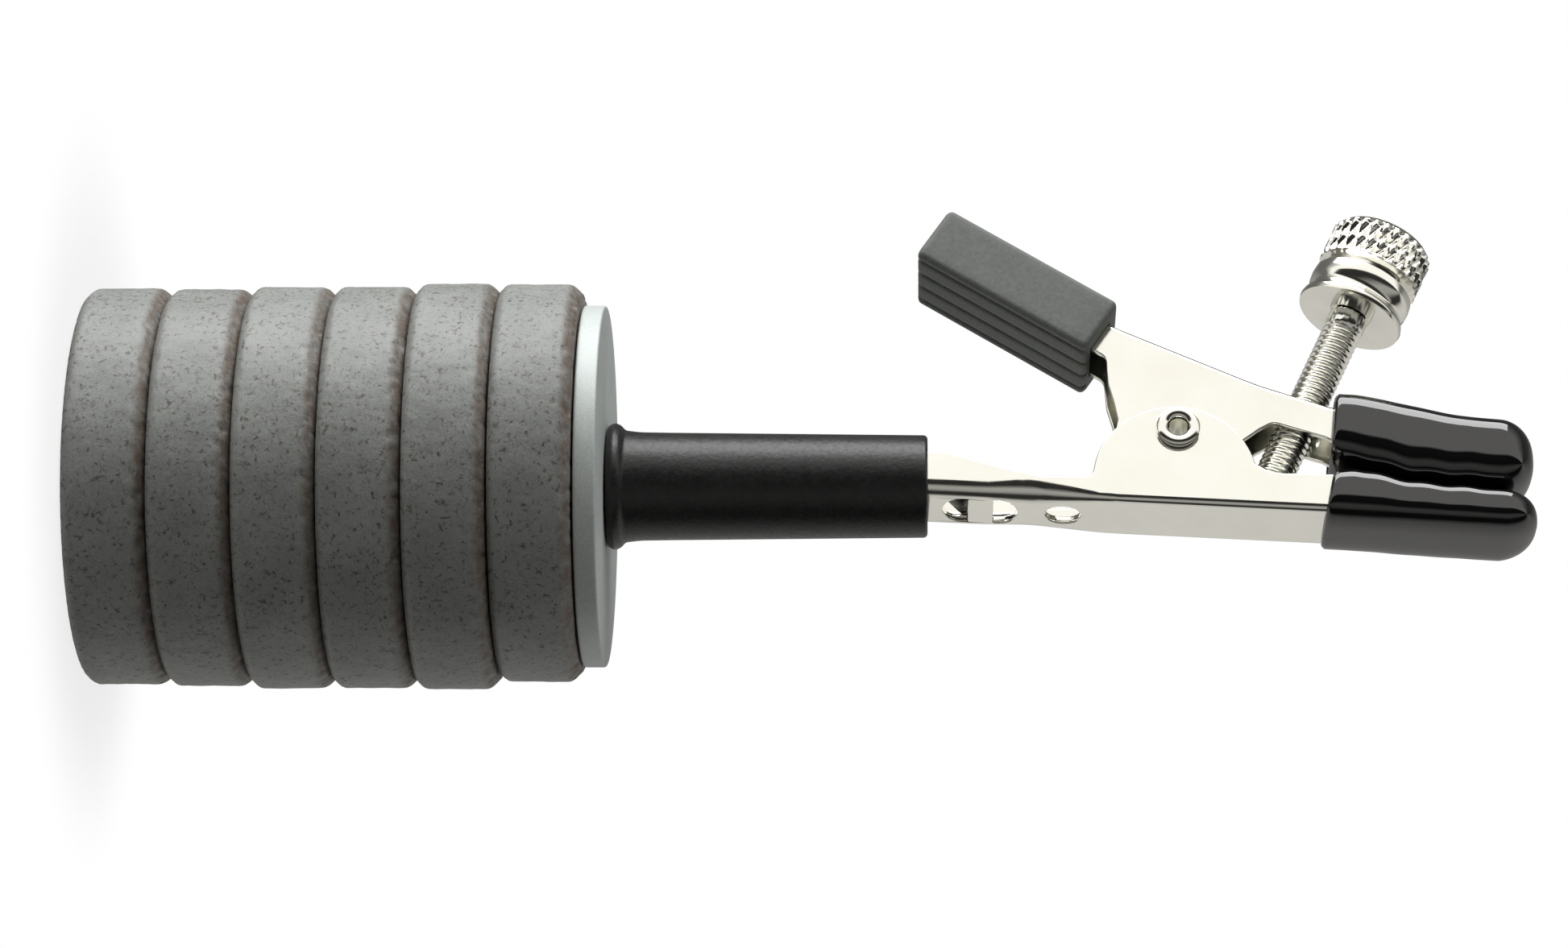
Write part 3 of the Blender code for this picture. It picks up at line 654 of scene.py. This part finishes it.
def rivet(finish):
    """A tubular rivet, rolled over into a fat ring at each end."""
    low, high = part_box("pivot_rivet")
    half, head, hole, tube = high.y / MM, 1.68, 0.74, 1.2
    under = FIXED_HALF_WIDTH + 0.1
    ring_middle, ring_radius = (head + hole) / 2, (head - hole) / 2
    side = [(tube, under)]
    for k in range(13):
        turn = math.radians(-40 + 200 * k / 12)
        side.append((ring_middle + ring_radius * math.cos(turn),
                     half - ring_radius * 0.85 + 0.85 * ring_radius * math.sin(turn)))
    side.append((hole, half - 0.6))
    profile = side + [(radius, -height) for radius, height in reversed(side)]

    def uneven(radius, height, turn):
        dent = math.exp(-((turn - 3.4) / 0.16) ** 2) * smooth(tube + 0.1, head, radius)
        return radius - 0.09 * dent, height - math.copysign(0.14, height) * dent

    bm = spun(profile, 72, closed=True, shape=uneven)
    matrix = Matrix.Translation(PIVOT) @ Matrix.Rotation(math.pi / 2, 4, "X")
    return ready(add_piece("tubular_rivet", bm, matrix, finish, 50), ROOT, "nickel", "pivot_rivet")


def spring(finish):
    """Closed coils round the rivet. One leg lies on the fixed lever and the other reaches up towards the
    handle.
    """
    wire, coil, span = 0.25, 1.8, 1.15
    first, last = math.radians(-90), math.radians(32 + 720)
    points = [place(75.0, -1.3, -span), place(78.0, 0.0, -span)]
    steps = 160
    for step in range(steps + 1):
        share = step / steps
        angle = first + (last - first) * share
        points.append(place(PIVOT_UP + coil * math.cos(angle), PIVOT_OUT + coil * math.sin(angle),
                            span * (2 * share - 1)))
    points += [place(81.2, 7.0, span), place(79.1, 10.4, span)]
    bm = bmesh.new()
    sides, rings = 12, []
    for index, point in enumerate(points):
        ahead = (points[min(index + 1, len(points) - 1)] - points[max(index - 1, 0)]).normalized()
        sideways = Vector((0, 1, 0)).cross(ahead).normalized()
        other = ahead.cross(sideways)
        ring = []
        for corner in range(sides):
            turn = 2 * math.pi * corner / sides
            spot = point + (sideways * math.cos(turn) + other * math.sin(turn)) * wire * MM
            ring.append(bm.verts.new(spot / MM))
        rings.append(ring)
    stitch(bm, rings)
    bm.faces.new(rings[0])
    bm.faces.new(list(reversed(rings[-1])))
    piece = add_piece("wound_spring", bm, Matrix.Identity(4), finish, 50)
    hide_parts("torsion_spring")
    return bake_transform(piece)


def handle_cap(finish):
    """The moulded cap: rounded edges, four grooves in its lower face, a domed end and an open mouth."""
    groove_centres, groove_half, groove_depth = (-2.9, -0.97, 0.97, 2.9), 0.17, 0.38
    corner = 0.45
    half_high = CAP_HEIGHT / 2

    def outline():
        """(across, high) points, from the middle of the lower face, all round."""
        lower = []
        for centre in groove_centres:
            half_floor, lip = 0.7 * groove_half, groove_half + 0.1
            for offset, depth in ((-lip, 0.0), (-groove_half, 0.08), (-half_floor, groove_depth),
                                  (half_floor, groove_depth), (groove_half, 0.08), (lip, 0.0)):
                lower.append((centre + offset, depth))
        points = finer(lower, 0.45)
        for x_sign, y_sign, start in ((1, 0, -90), (1, 1, 0), (-1, 1, 90), (-1, 0, 180)):
            middle = (x_sign * (CAP_HALF_WIDTH - corner), CAP_HEIGHT - corner if y_sign else corner)
            for k in range(6):
                turn = math.radians(start + 90 * k / 5)
                points.append((middle[0] + corner * math.cos(turn), middle[1] + corner * math.sin(turn)))
        return finer(points + [points[0]], 0.6)[:-1]

    base = outline()

    def ring(bm, along, inset, high_shift=0.0):
        scale_across = (CAP_HALF_WIDTH - inset) / CAP_HALF_WIDTH
        scale_high = (half_high - inset) / half_high
        made = []
        for across, high in base:
            up, out = cap_point(along, half_high + (high - half_high) * scale_high + high_shift)
            made.append(bm.verts.new((up, out, across * scale_across)))
        return made

    def pocket_ring(bm, along):
        made = []
        half_wide, low, high_side = MOVING_HALF_WIDTH + 0.1, HANDLE_LOW - 0.1, HANDLE_HIGH + 0.1
        middle = (low + high_side) / 2
        for across, high in base:
            x, y = across / CAP_HALF_WIDTH, (high - half_high) / half_high
            size = max(abs(x), abs(y), 1e-6)
            up, out = cap_point(along, middle + y / size * (high_side - middle))
            made.append(bm.verts.new((up, out, x / size * half_wide)))
        return made

    bm = bmesh.new()
    rings = []
    dome = 0.45
    for share in (0.1, 0.35, 0.6, 0.8):
        inset = (1 - share) * half_high
        rings.append(ring(bm, 0.0 - dome * (1 - share ** 2) + dome, inset))
    for k in range(5):
        turn = math.pi / 2 * k / 4
        along = dome * 0.65 + corner * (1 - math.cos(turn)) - 0.02
        rings.append(ring(bm, along, corner * (1 - math.sin(turn)) * 0.9))
    body_start, body_end = dome + corner, CAP_LENGTH - corner
    for k in range(9):
        rings.append(ring(bm, body_start + (body_end - body_start) * k / 8, 0.0))
    for k in range(1, 5):
        turn = math.pi / 2 * k / 4
        rings.append(ring(bm, body_end + corner * math.sin(turn), corner * (1 - math.cos(turn)) * 0.9))
    rings.append(pocket_ring(bm, CAP_LENGTH - 0.05))
    rings.append(pocket_ring(bm, CAP_LENGTH - 0.3))
    rings.append(pocket_ring(bm, HANDLE_START - 0.3))
    stitch(bm, rings)
    bm.faces.new(rings[0])
    bm.faces.new(list(reversed(rings[-1])))
    return ready(add_piece("ribbed_cap", bm, CLAMP, finish, 55), LEVER, "cap_rubber", "lever_cap")


def dipped_tip(name, outer_keys, inner_keys, wave_side, tip, half_width, inside_half, slant, finish):
    """A dipped tip lofted along the jaw. Keys are (up, low, high) of its section; the tip is a blunt dome."""
    back = outer_keys[0][0]
    lows, highs = [(u, low) for u, low, _ in outer_keys], [(u, high) for u, _, high in outer_keys]
    dome = 2.6
    shoulder = tip - dome
    around = 96

    def extent(up):
        low, high = along_keys(lows, up), along_keys(highs, up)
        wave = 0.08 * math.sin(2 * math.pi * (up - back) / 3.1) * smooth(back + 0.8, back + 2.5, up)
        wave *= 1 - smooth(shoulder - 3.0, shoulder + 0.5, up)
        return (low, high + wave) if wave_side > 0 else (low + wave, high)

    def ring(bm, up, shrink, squareness, wide, extents, fade):
        low, high = extents
        middle, half = (low + high) / 2, (high - low) / 2 * shrink
        made = []
        for k in range(around):
            turn = 2 * math.pi * (k + 0.5) / around
            c, s = math.cos(turn), math.sin(turn)
            x = math.copysign(abs(c) ** (2 / squareness), c) * wide * shrink
            y = math.copysign(abs(s) ** (2 / squareness), s) * half
            lean = slant * y * fade
            made.append(bm.verts.new((up + lean, middle + y, x)))
        return made

    bm = bmesh.new()
    rings = []
    inside_low = [(u, low) for u, low, _ in inner_keys]
    inside_high = [(u, high) for u, _, high in inner_keys]
    for up in (inner_keys[-1][0], back + 1.2, back + 0.35):
        extents = (along_keys(inside_low, up), along_keys(inside_high, up))
        rings.append(ring(bm, up, 1.0, 12, inside_half, extents, 1 - smooth(back, back + 4, up)))
    lip = 0.32
    low, high = extent(back)
    for k in range(7):
        turn = math.pi * k / 6
        spread = -2 * lip * (1 - k / 6)
        rings.append(ring(bm, back + 0.3 - 0.3 * math.sin(turn), 1.0, 3.4, half_width + spread,
                          (low - spread, high + spread), 1.0))
    steps = 44
    for k in range(1, steps + 1):
        up = back + 0.3 + (shoulder - back - 0.3) * k / steps
        rings.append(ring(bm, up, 1.0, 3.4, half_width, extent(up), 1 - smooth(back, back + 4, up)))
    for k in range(1, 15):
        turn = math.pi / 2 * k / 14.4
        rise = math.sin(turn)
        rings.append(ring(bm, shoulder + dome * rise, math.cos(turn) ** 0.8, 3.4 - 0.9 * rise, half_width,
                          extent(shoulder), 0.0))
    stitch(bm, rings)
    bm.faces.new(rings[0])
    bm.faces.new(list(reversed(rings[-1])))
    return add_piece(name, bm, CLAMP, finish, 70)


def dipped_tips(finish):
    lower = dipped_tip(
        "lower_dip",
        [(92.6, -4.05, 0.1), (94.6, -4.2, 0.25), (98.5, -4.5, -0.75), (102.0, -4.75, -1.2),
         (105.8, -5.0, -1.6)],
        [(93.0, -3.6, -0.3), (106.3, -4.3, -2.3)],
        wave_side=1, tip=108.1, half_width=3.85, inside_half=3.1, slant=0.2, finish=finish)
    ready(lower, ROOT, "vinyl_black", "lower_jaw_coat")
    upper = dipped_tip(
        "upper_dip",
        [(93.1, 1.15, 6.7), (95.0, 0.7, 6.6), (98.5, -0.4, 5.85), (102.4, -0.85, 4.9), (105.9, -1.15, 4.5)],
        [(93.5, 1.9, 5.75), (106.3, -0.5, 3.5)],
        wave_side=-1, tip=108.1, half_width=3.8, inside_half=2.3, slant=0.1, finish=finish)
    ready(upper, LEVER, "vinyl_black", "upper_jaw_coat")


def thumb_frame():
    """From the thumbscrew's own millimetres, +Z outward from the flange's lower face, to the world."""
    turn = Vector((0, 0, 1)).rotation_difference(THUMB_AXIS).to_matrix().to_4x4()
    return Matrix.Translation(FLANGE) @ turn


def threaded_rod(finish):
    """An M3 rod with a true helical thread, a tapered tip and a splined shoulder pressed into the head."""
    sides, per_pitch = 48, 8
    depth, splines = 0.3, 18
    thread_top = -1.3
    count = int(ROD_LENGTH / PITCH * per_pitch)
    heights = [-ROD_LENGTH + (ROD_LENGTH + thread_top) * k / count for k in range(count + 1)]
    profile = [(0, -ROD_LENGTH), (ROD_RADIUS - 0.4, -ROD_LENGTH)]
    profile += [(ROD_RADIUS, height) for height in heights]
    profile += [(ROD_RADIUS - 0.12, thread_top + 0.12), (ROD_RADIUS - 0.05, thread_top + 0.3),
                (ROD_RADIUS - 0.05, 0.0), (ROD_RADIUS - 0.5, 0.05), (ROD_RADIUS - 0.5, 3.0), (0, 3.0)]

    def threaded(radius, height, turn):
        if height > thread_top + 0.1 and radius > ROD_RADIUS - 0.3:
            return radius + 0.05 * math.cos(splines * turn), height
        if radius < ROD_RADIUS:
            return radius, height
        phase = (height / PITCH - turn / (2 * math.pi)) % 1.0
        ridge = smooth(0.08, 0.92, abs(2 * phase - 1))
        taper = 0.4 * (1 - smooth(-ROD_LENGTH, -ROD_LENGTH + 0.5, height))
        return radius - 0.03 - depth * (1 - ridge) - taper, height

    bm = spun(profile, sides, shape=threaded)
    return ready(add_piece("threaded_rod", bm, thumb_frame(), finish, 60), ROD_BODY, "nickel", "screw_rod")


def knurled_head(finish):
    """Flange, waisted neck, collar, groove and a diamond-knurled rim."""
    bore = 1.2
    rim_low, rim_high, rim = 3.75, 6.7, 3.95
    plain = [(bore, 3.1), (bore, 0.35), (1.75, 0.0), (4.02, 0.0), (4.1, 0.3), (4.02, 0.58), (3.7, 0.75),
             (3.55, 1.1), (3.66, 1.5), (3.92, 1.75), (3.96, 2.3), (3.9, 2.85), (3.4, 3.0), (3.2, 3.2),
             (3.24, 3.5), (3.6, 3.62), (3.82, rim_low)]
    profile = [(0, 3.1)] + plain + [(rim, rim_low + (rim_high - rim_low) * k / 36) for k in range(37)]
    profile += [(rim - 0.12, rim_high + 0.12), (rim - 0.35, HEAD_HEIGHT), (rim - 0.6, HEAD_HEIGHT),
                (0, HEAD_HEIGHT)]
    lead_left, lead_right = 0.2, 0.5

    def knurled(radius, height, turn):
        if radius < rim - 0.2 or height < rim_low - 0.05 or height > rim_high + 0.2:
            return radius, height
        rise = (height - rim_low) / (2 * math.pi * rim) * KNURLS
        around = turn / (2 * math.pi) * KNURLS
        left = abs(2 * ((around + rise * lead_left) % 1.0) - 1)
        right = abs(2 * ((around - rise * lead_right) % 1.0) - 1)
        crest = smooth(0.05, 0.7, min(left, right))
        ends = smooth(rim_low, rim_low + 0.25, height) * (1 - smooth(rim_high - 0.2, rim_high + 0.1, height))
        return radius - 0.3 * (1 - crest) * (0.35 + 0.65 * ends), height

    bm = spun(profile, KNURLS * 10, shape=knurled)
    return ready(add_piece("knurled_head", bm, thumb_frame(), finish, 50), HEAD_BODY, "nickel", "screw_head")


# ---------------------------------------------------------------- studio

def studio_floor():
    """A pale floor that fades out into the white surround."""
    made, tree, shader = material("pale_floor", specular=0.2)
    where = tree.nodes.new("ShaderNodeTexCoord")
    length = tree.nodes.new("ShaderNodeVectorMath")
    length.operation = "LENGTH"
    tree.links.new(where.outputs["Object"], length.inputs[0])
    fade = tree.nodes.new("ShaderNodeMapRange")
    fade.interpolation_type = "SMOOTHSTEP"
    for index, value in ((1, 0.015), (2, 0.030), (3, 0.2), (4, 0.0)):
        fade.inputs[index].default_value = value
    tree.links.new(length.outputs["Value"], fade.inputs["Value"])
    tree.links.new(ramp(tree, object_noise(tree, 0.05, 2.0), [(0.3, 0.86), (0.7, 0.9)]),
                   shader.inputs["Base Color"])
    shader.inputs["Roughness"].default_value = 0.9
    clear = tree.nodes.new("ShaderNodeBsdfTransparent")
    mix = tree.nodes.new("ShaderNodeMixShader")
    tree.links.new(fade.outputs["Result"], mix.inputs["Fac"])
    tree.links.new(clear.outputs["BSDF"], mix.inputs[1])
    tree.links.new(shader.outputs["BSDF"], mix.inputs[2])
    tree.links.new(mix.outputs["Shader"], tree.nodes["Material Output"].inputs["Surface"])
    bm = bmesh.new()
    bmesh.ops.create_circle(bm, cap_ends=True, segments=96, radius=80)
    floor = add_piece("floor", bm, Matrix.Translation((0, 0, -0.0001)), made)


def surround():
    """White to the camera. To everything else, soft walls whose brightness changes with direction.

    The angles run from -Y towards +X. The near walls of the levers mirror the bright span that ends at -17
    degrees, and the round bends of the sheet mirror the two dark spans.
    """
    world = bpy.data.worlds.new("studio")
    bpy.context.scene.world = world
    world.use_nodes = True
    tree = world.node_tree
    background = tree.nodes["Background"]
    where = tree.nodes.new("ShaderNodeTexCoord")
    split = tree.nodes.new("ShaderNodeSeparateXYZ")
    tree.links.new(where.outputs["Generated"], split.inputs["Vector"])
    back = tree.nodes.new("ShaderNodeMath")
    back.operation = "MULTIPLY"
    back.inputs[1].default_value = -1.0
    tree.links.new(split.outputs["Y"], back.inputs[0])
    around = tree.nodes.new("ShaderNodeMath")
    around.operation = "ARCTAN2"
    tree.links.new(split.outputs["X"], around.inputs[0])
    tree.links.new(back.outputs[0], around.inputs[1])
    share = tree.nodes.new("ShaderNodeMapRange")
    for index, value in ((1, -math.pi), (2, math.pi), (3, 0.0), (4, 1.0)):
        share.inputs[index].default_value = value
    tree.links.new(around.outputs[0], share.inputs["Value"])
    walls = [(-180, 0.45), (-130, 0.12), (-92, 0.12), (-62, 0.5), (-45, 0.88), (-17, 0.93), (-12, 0.02),
             (22, 0.02), (42, 0.30), (62, 0.26), (80, 0.02), (104, 0.02), (122, 0.42), (150, 0.52),
             (180, 0.45)]
    warm = Vector((1.0, 0.985, 0.955))
    stops = [((degrees + 180) / 360, tuple(warm * level)) for degrees, level in walls]
    light = ramp(tree, share.outputs["Result"], stops)
    tree.links.new(light, background.inputs["Color"])
    background.inputs["Strength"].default_value = 1.12
    white = tree.nodes.new("ShaderNodeBackground")
    path = tree.nodes.new("ShaderNodeLightPath")
    mix = tree.nodes.new("ShaderNodeMixShader")
    tree.links.new(path.outputs["Is Camera Ray"], mix.inputs["Fac"])
    tree.links.new(background.outputs["Background"], mix.inputs[1])
    white.inputs["Color"].default_value = (1, 1, 1, 1)
    tree.links.new(white.outputs["Background"], mix.inputs[2])
    tree.links.new(mix.outputs["Shader"], tree.nodes["World Output"].inputs["Surface"])


def softbox(name, around_deg, height, distance, width, tall, power):
    """An area light facing the object's middle. The angle runs from -Y towards +X."""
    turn = math.radians(around_deg)
    light = bpy.data.lights.new(name, "AREA")
    light.shape = "RECTANGLE"
    light.size, light.size_y, light.energy = width, tall, power
    lamp = bpy.data.objects.new(name, light)
    bpy.context.scene.collection.objects.link(lamp)
    target = Vector((0, 0, 0.055))
    lamp.location = target + Vector((math.sin(turn), -math.cos(turn), 0)) * distance + Vector((0, 0, height))
    lamp.rotation_euler = (target - lamp.location).to_track_quat("-Z", "Y").to_euler()


def camera():
    roll, yaw = VIEW_ROLL, VIEW_YAW
    back = Vector((math.cos(yaw) * math.sin(roll), -math.cos(yaw) * math.cos(roll), math.sin(yaw)))
    right = Vector((-math.sin(yaw) * math.sin(roll), math.sin(yaw) * math.cos(roll), math.cos(yaw)))
    up = back.cross(right)
    data = bpy.data.cameras.new("camera")
    data.lens = LENS
    data.sensor_width = 36
    data.clip_start = 0.01
    made = bpy.data.objects.new("camera", data)
    bpy.context.scene.collection.objects.link(made)
    eye = right * VIEW_CENTRE[0] + up * VIEW_CENTRE[1] + back * VIEW_DISTANCE
    made.matrix_world = Matrix.Translation(eye) @ Matrix((right, up, back)).transposed().to_4x4()
    bpy.context.scene.camera = made


def build():
    camera()
    surround()
    studio_floor()
    softbox("key_softbox", -66, 0.0, 0.42, 0.28, 0.5, 2.3)
    bpy.context.scene.view_settings.view_transform = "Standard"

    nickel, steel, vinyl = nickel_finish(), steel_finish(), vinyl_finish()
    low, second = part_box("magnet_1")[0].z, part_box("magnet_2")[0].z
    ferrite = ferrite_finish(second - low)
    for index in range(1, 7):
        magnet(index, ferrite)
    plate(plate_finish())
    sleeve(sleeve_finish())
    lower_lever(nickel)
    upper_lever(nickel)
    rivet(nickel)
    spring(steel)
    handle_cap(rubber_finish())
    dipped_tips(vinyl)
    threaded_rod(nickel)
    knurled_head(nickel)
    for hidden in ("plate_screw", "core_bush"):
        for holder in frame["nodes"][hidden].material_slots:
            holder.material = steel


build()
